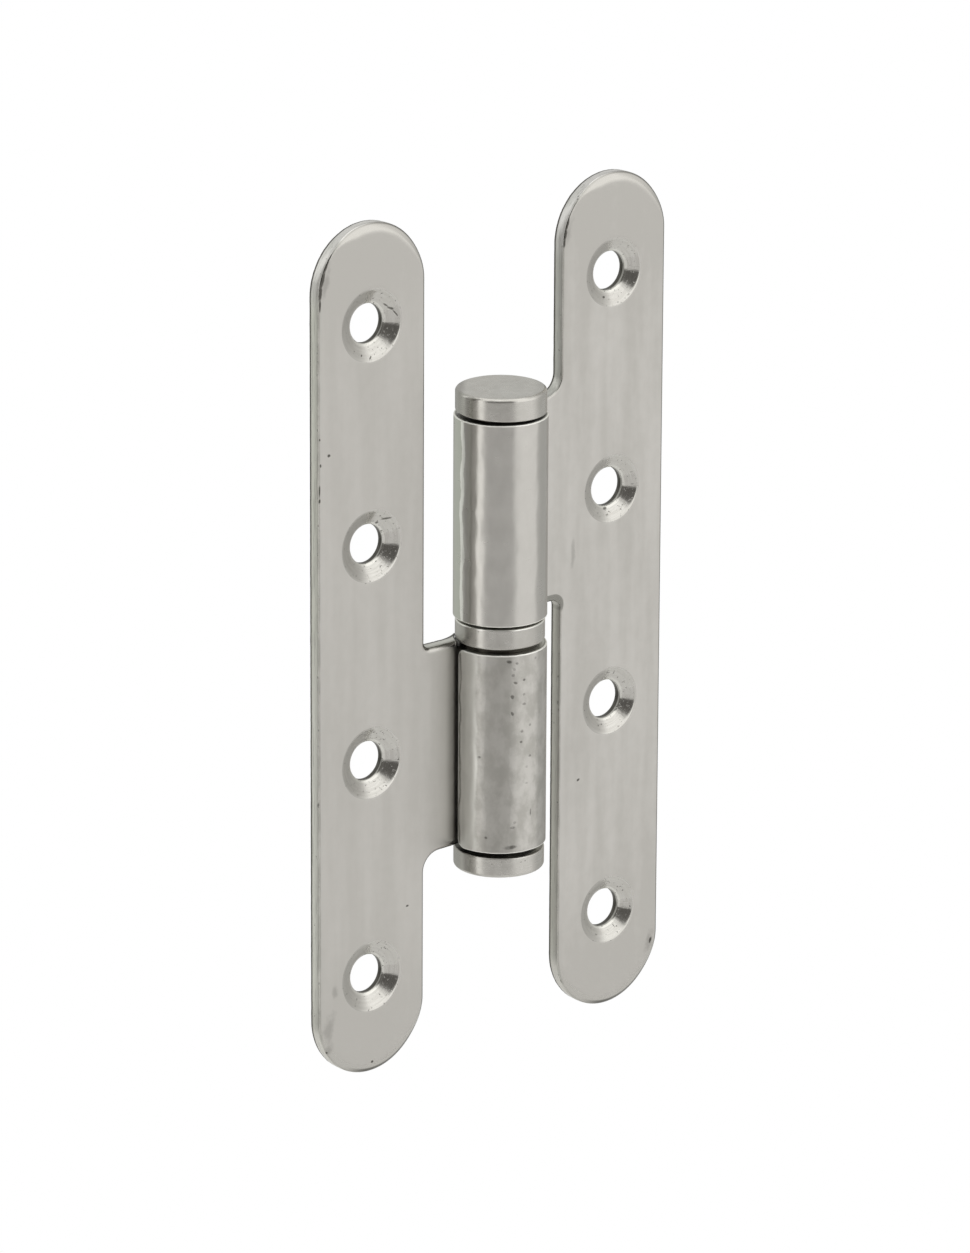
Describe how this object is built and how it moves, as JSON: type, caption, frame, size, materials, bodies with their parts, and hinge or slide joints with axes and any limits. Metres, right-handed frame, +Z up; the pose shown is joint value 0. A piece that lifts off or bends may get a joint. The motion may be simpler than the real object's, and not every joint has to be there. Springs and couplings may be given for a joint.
{
  "type": "flag hinge",
  "caption": "Lift-off flag hinge in stainless steel: two round-ended countersunk leaves with rolled knuckles on a pressed pin, a bearing ring between them and end caps.",
  "frame": {"origin": "on the pin axis at the middle of the bearing ring, which is the centre of the whole hinge opened out flat", "axes": "+Z up the pin axis and along the leaves, -Y out of the countersunk faces, +X towards the lift-off upper leaf"},
  "size_m": [0.07, 0.015, 0.14],
  "materials": {
    "leaf_steel": "satin stainless sheet with sheared edges",
    "pin_steel": "bright turned steel",
    "ring_steel": "satin turned stainless steel",
    "cap_steel": "satin turned stainless steel"
  },
  "bodies": {
    "frame_side": {"lower_leaf": "leaf_steel", "hinge_pin": "pin_steel", "bottom_cap": "cap_steel"},
    "ring": {"bearing_ring": "ring_steel"},
    "door_side": {"upper_leaf": "leaf_steel", "top_cap": "cap_steel"}
  },
  "joints": [
    {"name": "swing", "type": "hinge", "parent": "frame_side", "child": "ring", "pos_m": [0, 0, 0], "axis": [0, 0, 1], "range_deg": [-180, 140]},
    {"name": "lift_off", "type": "slide", "parent": "ring", "child": "door_side", "axis": [0, 0, 1], "range_m": [0, 0.032]}
  ]
}
